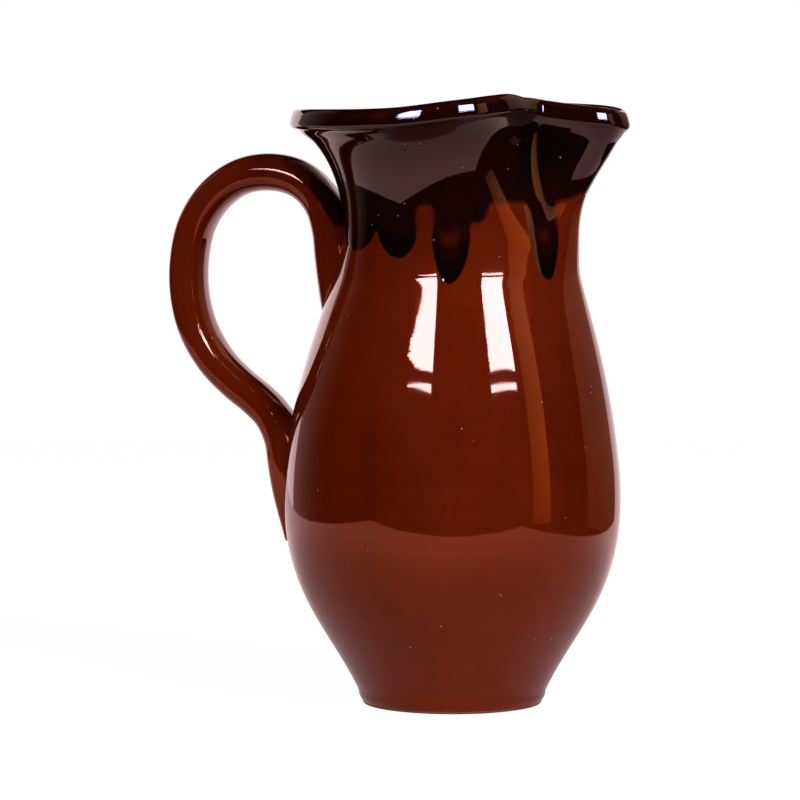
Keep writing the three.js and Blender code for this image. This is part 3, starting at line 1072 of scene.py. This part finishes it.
    def build(self, finish: BrownGlaze) -> None:
        """Builds the strap and the slip of its two roots.

        Args:
            finish: Their glaze.
        """
        glaze = finish.make("brown_glaze_on_handle", spill=True)
        upper_end, lower_start = self.slip_shares
        slip = (self.slip_under, self.sunk - self.slip_sunk)
        for name, node, shares, spread, (under, sunk) in (
            ("strap_handle", "pulled_handle", np.linspace(0, 1, self.steps + 1), 0.0, (0.0, self.sunk)),
            ("upper_root_slip", "upper_handle_slip", np.linspace(0, upper_end, self.slip_steps),
             self.flare[0], slip),
            ("lower_root_slip", "lower_handle_slip", np.linspace(lower_start, 1, self.slip_steps),
             self.flare[1], slip),
        ):
            piece = make_piece(name, self.skin(shares, spread, under, sunk).spin(), glaze)
            dress(piece, node)


@dataclass(frozen=True)
class Run:
    """Tongue of glaze that ran down.

    Attributes:
        angle: Its middle, in degrees round from the spout.
        tip: Height of its tip.
        left, right: Degrees that it spreads to each side.
    """

    angle: float
    tip: float
    left: float
    right: float

    def drop(self, angle: Array, level: Array) -> Array:
        """How far the glaze ran below its level edge, as a half oval with its own spread to each side."""
        away = from_middle(angle - self.angle)
        share = away / np.where(away < 0, self.left, self.right)
        return (level - self.tip) * np.sqrt(np.clip(1 - share**2, 0, 1))


@dataclass(frozen=True)
class Pooling:
    """How thick the dark glaze looks outside: 0 at a soft edge, 1, and more in a run's tip; it is darker in a
    fold.

    Attributes:
        soft: How far in from a run's edge it is full, and how much further from the edge between runs.
        window: How much thinner it looks within a run.
        window_rise, window_rim: Distances over and from the edge between which that sets in.
        window_top: Heights between which it ends.
        tip: How much thicker it looks in a run's tip.
        tip_rise, tip_rim: Distances over and from the edge between which that ends and sets in.
        fold: How much darker it is in the folds beside the spout.
        fold_spread: Degrees that it does so to each side.
        fold_rise: Heights between which it sets in.
    """

    soft: Span = (0.7, 3.5)
    window: float = 0.6
    window_rise: Span = (9, 20)
    window_rim: Span = (1.2, 4)
    window_top: Span = (214, 203)
    tip: float = 0.4
    tip_rise: Span = (15, 4)
    tip_rim: Span = (0.2, 1.5)
    fold: float = 0.4
    fold_spread: float = 15
    fold_rise: Span = (208, 222)

    def at(self, from_fold: Array, height: Array, over: Array, away: Array, run: Array) -> Array:
        """Thickness at points of the coat.

        Args:
            from_fold: Degrees from the nearer fold.
            height: Heights of the points.
            over: How far they lie over the edge.
            away: How far they lie from its nearest part.
            run: How much that part belongs to a run, from 0 to 1.

        Returns:
            The thickness at each point.
        """
        least, more = self.soft
        soft = smoothstep(0, 1, away / (least + more * (1 - run)))
        window = smoothstep(*self.window_rise, over) * smoothstep(*self.window_rim, away)
        window = window * smoothstep(*self.window_top, height) * run
        tip = smoothstep(*self.tip_rise, over) * smoothstep(*self.tip_rim, away) * run
        # Darker in the folds beside the spout.
        fold = bell(from_fold, self.fold_spread) * smoothstep(*self.fold_rise, height)
        return soft * (1 - self.window * window + self.tip * tip + self.fold * fold)


@dataclass
class GlazeCoat:
    """The dark glaze over the mouth: a skin that thickens from its edge, with runs down the neck.

    Attributes:
        form: Form of the pot under it.
        runs: Tongues that ran down from the edge.
        run_depth: How far below the level edge it starts to count as a run's, and does so fully.
        level: Height of the edge between the runs, and how much higher it lies at the spout.
        level_spread: Degrees to each side that the edge is higher by the spout.
        edge_step: Degrees between samples of the edge.
        edge_blur: Samples to each side that it is smoothed over, and their spread.
        throat: Edge inside the mouth, as degrees round from the spout and height.
        columns: Steps along the edge.
        outer_rows, lip_rows, throat_rows, throat_back_rows, outer_back_rows: Rows on each part.
        crowding: How much closer the rows outside lie at the edge.
        thickness: Greatest thickness over the lip.
        thicken: Heights between which it is reached outside.
        squareness: Of the glazed lip's section, whose outer face is flat.
        welt: How much thicker it fills the corner under the lip, and how far down.
        bead: Thickness of a run's edge, and how far in it is reached.
        feather: The same for the edge between the runs.
        throat_edge: The same for the edge in the throat.
        bedded: How deep its edges lie in the wall.
        neck_radius: Radius at which distances along the edge are measured.
        pooling: How thick it looks outside.
        lip_pool: How thick it looks on the lip, and how much less where it ran off.
        lip_thin: Where on the lip it ran off, and how far to each side.
        throat_pool: Distances over the edge in the throat between which it looks thin and thick.
    """

    form: PotForm
    runs: tuple[Run, ...] = (
        Run(-158, 197, 24, 30), Run(-137, 188, 22, 20), Run(-104.5, 186, 17, 11.5),
        Run(-78.5, 176.2, 9.8, 12.4), Run(-64, 199, 7, 8.5), Run(-25.5, 176.6, 9.4, 10),
        Run(24, 186, 9, 8), Run(52, 198, 7, 9), Run(74, 180, 8, 8),
        Run(103, 191, 12, 12), Run(133, 184, 12, 14), Run(165, 199, 16, 18),
    )
    run_depth: Span = (2, 14)
    level: Span = (205.4, 5.5)
    level_spread: float = 10
    edge_step: float = 0.2
    edge_blur: tuple[int, float] = (8, 3.0)
    throat: tuple[Span, ...] = (
        (-180, 214), (-150, 208), (-125, 213), (-98, 200), (-80, 212), (-45, 209), (-15, 213), (15, 206),
        (40, 213), (66, 203), (92, 213), (120, 205), (150, 213),
    )
    columns: int = 640
    outer_rows: int = 42
    lip_rows: int = 33
    throat_rows: int = 21
    throat_back_rows: int = 6
    outer_back_rows: int = 8
    crowding: float = 1.8
    thickness: float = 0.75
    thicken: Span = (206, 226)
    squareness: float = 3.4
    welt: Span = (0.6, 4)
    bead: Span = (0.18, 3.0)
    feather: Span = (0.22, 5.0)
    throat_edge: Span = (0.55, 9)
    bedded: float = 0.03
    neck_radius: float = 46
    pooling: Pooling = Pooling()
    lip_pool: Span = (0.95, 0.3)
    lip_thin: Span = (0.42, 0.16)
    throat_pool: Span = (-1, 7)

    @functools.cached_property
    def edge_line(self) -> Array:
        """The outer edge as a dense, slightly smoothed line of degrees and heights."""
        end = 1.5 * HALF_TURN
        fine = np.arange(-end, end, self.edge_step)
        low, more = self.level
        level = low + more * bell(from_middle(fine), self.level_spread)
        edge = level - np.max([run.drop(fine, level) for run in self.runs], axis=0)
        reach, spread = self.edge_blur
        blur = bell(np.arange(-reach, reach + 1), spread)
        edge = np.convolve(edge, blur / blur.sum(), "same")
        return np.stack([fine, edge], axis=1)

    @functools.cached_property
    def angles(self) -> Array:
        """Columns' angles, evenly spaced along the edge itself."""
        fine, level = self.edge_line.T
        keep = (fine >= -HALF_TURN) & (fine <= HALF_TURN + self.edge_step / 2)
        fine, level = fine[keep], level[keep]
        steps = np.hypot(np.radians(np.diff(fine)) * self.neck_radius, np.diff(level))
        length = np.concatenate([[0], np.cumsum(steps)])
        return np.interp(np.arange(self.columns) / self.columns * length[-1], length, fine)

    def from_edge(self, angle: Array, height: Array) -> tuple[Array, Array]:
        """Finds the nearest points of the outer edge.

        Args:
            angle: Degrees round from the spout.
            height: Heights of the same points.

        Returns:
            Millimetres to the edge, and the nearest edge point's height.
        """
        fine, level = self.edge_line.T
        across = np.radians(angle[:, None] - fine) * self.neck_radius
        apart = np.hypot(across, height[:, None] - level)
        nearest = apart.argmin(axis=1)
        return apart[np.arange(len(angle)), nearest], level[nearest]

    def outer_rows_at(self, angle: Array, edge: Array) -> list[tuple[Row, Array]]:
        """Rows up the outside.

        Args:
            angle: Degrees of the columns round from the spout.
            edge: Heights of the edge there.

        Returns:
            Each row, with how thick the glaze looks there.
        """
        form, rows = self.form, []
        from_fold = np.abs(angle) - form.fold_angle
        welt, under = self.welt
        for share in np.linspace(0, 1, self.outer_rows) ** self.crowding:
            height = edge + (form.wall_top - edge) * share
            away, nearest = self.from_edge(angle, height)
            run = smoothstep(*self.run_depth, self.level[0] - nearest)
            full, wide = (low + (high - low) * run for low, high in zip(self.feather, self.bead))
            off = full * level_off(away / wide)
            off = off + (self.thickness - full) * smoothstep(*self.thicken, height)
            off = off + welt * smoothstep(form.wall_top - under, form.wall_top, height)
            pool = self.pooling.at(from_fold, height, height - edge, away, run)
            rows.append((form.outer(height, off - self.bedded), pool))
        return rows

    def grid(self) -> PointGrid:
        """The skin's rows: up the outside, over the lip, down the throat and back within the wall.

        Returns:
            The grid, with how thick the glaze looks as a layer.
        """
        form, angle = self.form, self.angles
        edge = np.interp(angle, *self.edge_line.T)
        knots = [a + k for k in (-FULL_TURN, 0, FULL_TURN) for a, _ in self.throat]
        throat = cubic_through(knots, np.tile([h for _, h in self.throat], 3), angle)
        rows = self.outer_rows_at(angle, edge)
        most, less = self.lip_pool
        middle, spread = self.lip_thin
        for share in np.linspace(0, 1, self.lip_rows):
            pool = np.full_like(angle, most - less * bell(share - middle, spread))
            rows.append((form.lip(share, self.thickness, self.squareness), pool))
        full, wide = self.throat_edge
        for share in between(0, 1, self.throat_rows):
            height = form.wall_top + (throat - form.wall_top) * share
            off = full * level_off((height - throat) / wide) - self.bedded
            rows.append((form.inner(height, off), smoothstep(*self.throat_pool, height - throat)))
        within, thick = form.wall / 3, np.ones_like(angle)
        for share in np.linspace(0, 1, self.throat_back_rows):
            rows.append((form.inner(throat + (form.wall_top - throat) * share, -within), thick))
        for share in np.linspace(0, 1, self.outer_back_rows):
            rows.append((form.outer(form.wall_top + (edge - form.wall_top) * share, -within), thick))
        turn = np.radians(angle)
        points = np.stack([row(turn) for row, _ in rows])
        return PointGrid(points, joined=True, layers={"pool": np.stack([pool for _, pool in rows])})

    def build(self, finish: DarkGlaze) -> None:
        """Builds the coat in its glaze."""
        coat = make_piece("dark_glaze_coat", self.grid().spin(), finish.make("dark_glaze_on_mouth"))
        dress(coat, "dark_glaze_collar")


# The studio


@dataclass(frozen=True)
class Panel:
    """Upright panel of the studio, placed by the direction of its middle as seen from the jug.

    Attributes:
        name: Its name.
        azimuth: Degrees to the right of the camera's direction.
        distance: From the jug's axis.
        facing: Direction that it faces away from, in the same degrees.
        corners: Its outline, as how far each corner lies to the right of its middle, and its height.
        glow: Light of each corner, or one light for all, where 1 is white.
    """

    name: str
    azimuth: float
    distance: float
    facing: float
    corners: tuple[Span, ...]
    glow: tuple[Colour, ...]

    @classmethod
    def oblong(cls, name: str, azimuth: float, distance: float, box: tuple[float, float, float, float],
               *glow: Colour) -> "Panel":
        """Makes an oblong panel that faces the jug.

        Args:
            name: Its name.
            azimuth: Degrees to the right of the camera's direction.
            distance: From the jug's axis.
            box: Its left and right ends from its middle, and its lower and upper edges.
            glow: Light, from the lower left corner round to the upper left, or one for all.

        Returns:
            The panel.
        """
        left, right, low, high = box
        corners = ((left, low), (right, low), (right, high), (left, high))
        return cls(name, azimuth, distance, azimuth, corners, glow)


def frayed(start: Span, end: Span, teeth: int, depth: float, uneven: float = 0.4, beat: float = 2.4
           ) -> tuple[Span, ...]:
    """Edge of a panel that is frayed, as the glaze's pits show it.

    Args:
        start: Its first corner, as how far that lies to the right, and its height.
        end: Its last corner.
        teeth: How many steps it is cut into, each second one drawn in to the right.
        depth: How far they are drawn in at most.
        uneven: Share of the depth that varies up and down.
        beat: Radians from step to step with which it varies.

    Returns:
        Its corners.
    """
    shares = np.linspace(0, 1, teeth + 1)
    tooth = np.arange(teeth + 1)
    drawn = depth * (tooth % 2) * ((1 - uneven) + uneven * np.sin(beat * tooth))
    across = np.interp(shares, (0, 1), (start[0], end[0])) + drawn
    heights = np.interp(shares, (0, 1), (start[1], end[1]))
    return tuple(zip(across.tolist(), heights.tolist()))


@dataclass
class Studio:
    """Table, lamps, reflected panels and camera of the photograph, in metres and degrees.

    Attributes:
        view_turn: Degrees that the camera stands round from the jug's side.
        view_rise: Degrees that it looks down.
        distance: From the camera to the point it looks at.
        aside: How far that point lies to the camera's left of the jug's axis.
        aim: Its height.
        lens: Focal length.
        cast: Colour that pale things take on in the photograph's reflections.
        softbox: Light of the softboxes in the reflections, which the glaze turns back to white.
        left_lamp, right_lamp: How bright the lamps are, where 1 is white.
        room: Light of the room on the jug.
        mirrored_room: The same in reflections.
        table_box: Left, right, front and rear edge of the table, as the camera sees it.
        table_glow: Its light for the camera.
        table_faint, table_white: How much light it gives back to the camera and to all else.
        mirror_stretch: How distances on the table count for its light in reflections.
        painted_shadow_reach: Distances from the jug between which the painted shadow in reflections fades.
        mirror_glow: The light in reflections at these, dim in the painted shadow.
    """

    view_turn: float = 14
    view_rise: float = 5
    distance: float = 2.2
    aside: float = 0.0216
    aim: float = 0.1254
    lens: float = 240.3
    cast: Colour = (1.0, 0.71, 0.73)
    softbox: Colour = (22, 40, 81)
    left_lamp: float = 24.6
    right_lamp: float = 40
    room: float = 0.14
    mirrored_room: float = 0.008
    table_box: tuple[float, float, float, float] = (-0.52, 0.362, 0.37, -1.15)
    table_glow: float = 0.958
    table_faint: float = 0.1
    table_white: float = 0.8
    mirror_stretch: Triple = (0.55, 1, 0)
    painted_shadow_reach: Span = (0.04, 0.34)
    mirror_glow: Span = (0.58, 1.2)

    def around(self, azimuth: float, distance: float, height: float) -> Vector:
        """Point at degrees to the right of the camera's direction, as seen from the jug."""
        a = math.radians(azimuth + self.view_turn)
        return Vector((math.sin(a) * distance, -math.cos(a) * distance, height))

    def camera(self) -> None:
        """Makes the camera and looks through it."""
        rise = math.radians(self.view_rise)
        back = self.around(0, math.cos(rise), math.sin(rise))
        data = bpy.data.cameras.new("camera")
        data.lens = self.lens
        data.sensor_width = SENSOR_WIDTH
        camera = bpy.data.objects.new("camera", data)
        camera.location = self.around(-90, self.aside, self.aim) + back * self.distance
        camera.rotation_euler = back.to_track_quat("Z", "Y").to_euler()
        bpy.context.scene.collection.objects.link(camera)
        bpy.context.scene.camera = camera

    def hang(self, panel: Panel) -> None:
        """Hangs a panel that shows only in reflections.

        Args:
            panel: The panel.
        """
        middle = self.around(panel.azimuth, panel.distance, 0)
        shape = bmesh.new()
        glow = shape.verts.layers.float_color.new("glow")
        verts = [
            shape.verts.new(middle + self.around(panel.facing + 90, across, height))
            for across, height in panel.corners
        ]
        for vert, light in zip(verts, itertools.cycle(panel.glow)):
            vert[glow] = (*light, 1)
        shape.faces.new(verts)
        sheet = NodeSheet(bpy.data.materials.new(panel.name))
        light = sheet.emit(sheet.add("Attribute", attribute_name="glow").outputs["Color"])
        sheet.add("OutputMaterial", {"Surface": light})
        card = make_piece(panel.name, shape, sheet.owner)
        card.visible_camera = card.visible_diffuse = card.visible_shadow = card.visible_transmission = False

    def light(self, name: str, panel: Panel, radiance: float) -> None:
        """Hangs an oblong lamp in the place of a panel, which shows in the reflections in its stead.

        Args:
            name: Name of the lamp.
            panel: The panel.
            radiance: How bright the lamp is, where 1 is white.
        """
        across, heights = zip(*panel.corners)
        width, height = max(across) - min(across), max(heights) - min(heights)
        data = bpy.data.lights.new(name, "AREA")
        data.shape = "RECTANGLE"
        data.size = width
        data.size_y = height
        data.energy = radiance * math.pi * width * height
        lamp = bpy.data.objects.new(name, data)
        lamp.location = self.around(panel.azimuth, panel.distance, (max(heights) + min(heights)) / 2)
        lamp.rotation_euler = self.around(panel.facing, 1, 0).to_track_quat("Z", "Y").to_euler()
        lamp.visible_glossy = False
        bpy.context.scene.collection.objects.link(lamp)

    def table(self) -> None:
        """Lays the white table top, which keeps a faint shadow and shows a painted one in reflections."""
        left, right, front, rear = self.table_box
        middle = Matrix.Translation(((left + right) / 2, -(front + rear) / 2, 0))
        turned = Matrix.Rotation(math.radians(self.view_turn), 4, "Z") @ middle
        matrix = turned @ Matrix.Diagonal((right - left, front - rear, 1, 1))
        shape = bmesh.new()
        bmesh.ops.create_grid(shape, x_segments=1, y_segments=1, size=0.5, matrix=matrix)
        sheet = NodeSheet(bpy.data.materials.new("white_table"))
        path = sheet.add("LightPath").outputs
        faint, white = (
            sheet.add("BsdfDiffuse", {"Color": (grey, grey, grey, 1)}).outputs["BSDF"]
            for grey in (self.table_faint, self.table_white)
        )
        glow = sheet.emit((1, 1, 1, 1), self.table_glow)
        seen = sheet.add("AddShader", {0: faint, 1: glow}).outputs["Shader"]
        # Painted shadow: in reflections the table is dimmer near the jug.
        reach = sheet.add("VectorMath", {0: sheet.place(self.mirror_stretch)}, operation="LENGTH")
        bright = sheet.span(reach.outputs["Value"], *self.painted_shadow_reach, *self.mirror_glow)
        mirrored = sheet.emit((*self.cast, 1), bright)
        clear = sheet.add("BsdfTransparent").outputs["BSDF"]
        top = sheet.switch(path["Is Glossy Ray"], white, mirrored)
        top = sheet.switch(path["Is Camera Ray"], top, seen)
        top = sheet.switch(sheet.add("NewGeometry").outputs["Backfacing"], top, clear)
        sheet.add("OutputMaterial", {"Surface": top})
        table = make_piece("white_table", shape, sheet.owner)

    def world(self) -> None:
        """Sets the white backdrop for the camera and a dim room for everything else."""
        sheet = NodeSheet(bpy.data.worlds.new("studio"))
        path = sheet.add("LightPath").outputs
        white = (1, 1, 1)
        room, mirrored, backdrop = (
            sheet.add("Background", {"Color": (*colour, 1), "Strength": strength}).outputs["Background"]
            for colour, strength in ((white, self.room), (self.cast, self.mirrored_room), (white, 1.0))
        )
        unseen = sheet.switch(path["Is Glossy Ray"], room, mirrored)
        sheet.add("OutputWorld", {"Surface": sheet.switch(path["Is Camera Ray"], unseen, backdrop)})
        bpy.context.scene.world = sheet.owner

    def build(self) -> None:
        """Sets up the whole studio."""
        self.camera()
        self.table()
        self.world()
        glow = (self.softbox,)
        left = Panel("left_softbox_face", -29, 1.6, -22, (
            *frayed((-0.1, 0.96), (-0.29, 1.02), 6, 0.06), *frayed((-0.29, 1.03), (-0.27, 1.12), 9, 0.1),
            *frayed((-0.25, 1.13), (-0.06, 1.31), 17, 0.1), (-0.05, 1.32), (0.345, 1.32), (0.345, 0.945),
            (0.1, 0.945),
        ), glow)
        right = Panel("right_softbox_face", 40, 1.6, 26, (
            (0.3, 0.903), (0.3, 1.3), *frayed((-0.3, 1.3), (-0.3, 0.903), 30, 0.035),
        ), glow)
        left_gap = Panel("left_gap_light", -27, 1.6, -22, (
            (-0.26, 0.84), (0.28, 0.818), (0.28, 0.876), (-0.26, 0.852),
        ), glow)
        right_gap = Panel("right_gap_light", 40, 1.6, 26, (
            (-0.3, 0.778), (0.28, 0.784), (0.28, 0.824), (-0.3, 0.82),
        ), glow)
        self.light("left_softbox", left, self.left_lamp)
        self.light("right_softbox", right, self.right_lamp)
        wall_edge, wall_dark = (0.4, 0.28, 0.26), (0.02, 0.01, 0.01)
        backdrop_edge, backdrop = (1.0, 0.8, 0.85), (2.0, 1.6, 1.64)
        reflectors = (
            Panel.oblong("wooden_reflector", 61, 1.3, (-0.145, 0.16, -0.12, 0.42),
                         (0.45, 0.18, 0.04), (0.85, 0.36, 0.08), (1.9, 0.95, 0.3), (1.0, 0.5, 0.15)),
            Panel.oblong("pale_reflector", 61, 1.3, (-0.145, 0.16, 0.42, 0.95),
                         (0.9, 0.45, 0.14), (1.6, 0.85, 0.3), (1.2, 1.05, 0.8), (0.8, 0.68, 0.52)),
            Panel.oblong("right_wall", 124, 1.3, (-0.5, 0.49, -0.17, 1.3),
                         (0.22, 0.07, 0.03), (0.2, 0.06, 0.03), (0.62, 0.46, 0.34), (0.62, 0.46, 0.34)),
            Panel.oblong("left_wall", -120, 1.3, (-0.42, 0.5, -0.4, 1.3),
                         wall_edge, wall_dark, wall_dark, wall_edge),
            Panel.oblong("white_backdrop", 180, 1.2, (-1.0, 1.35, -0.4, 0.62),
                         backdrop_edge, backdrop, backdrop, backdrop_edge),
        )
        for panel in (left, right, left_gap, right_gap, *reflectors):
            self.hang(panel)
        bpy.context.scene.view_settings.view_transform = "Standard"


def main() -> None:
    """Builds the studio and the jug's pieces."""
    logging.basicConfig(level=logging.INFO, format="%(name)s: %(message)s")
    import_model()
    form = PotForm()
    Studio().build()
    brown = BrownGlaze()
    ThrownBody(form).build(brown)
    StrapHandle(form).build(brown)
    GlazeCoat(form).build(DarkGlaze())


if __name__ == "__main__":
    main()
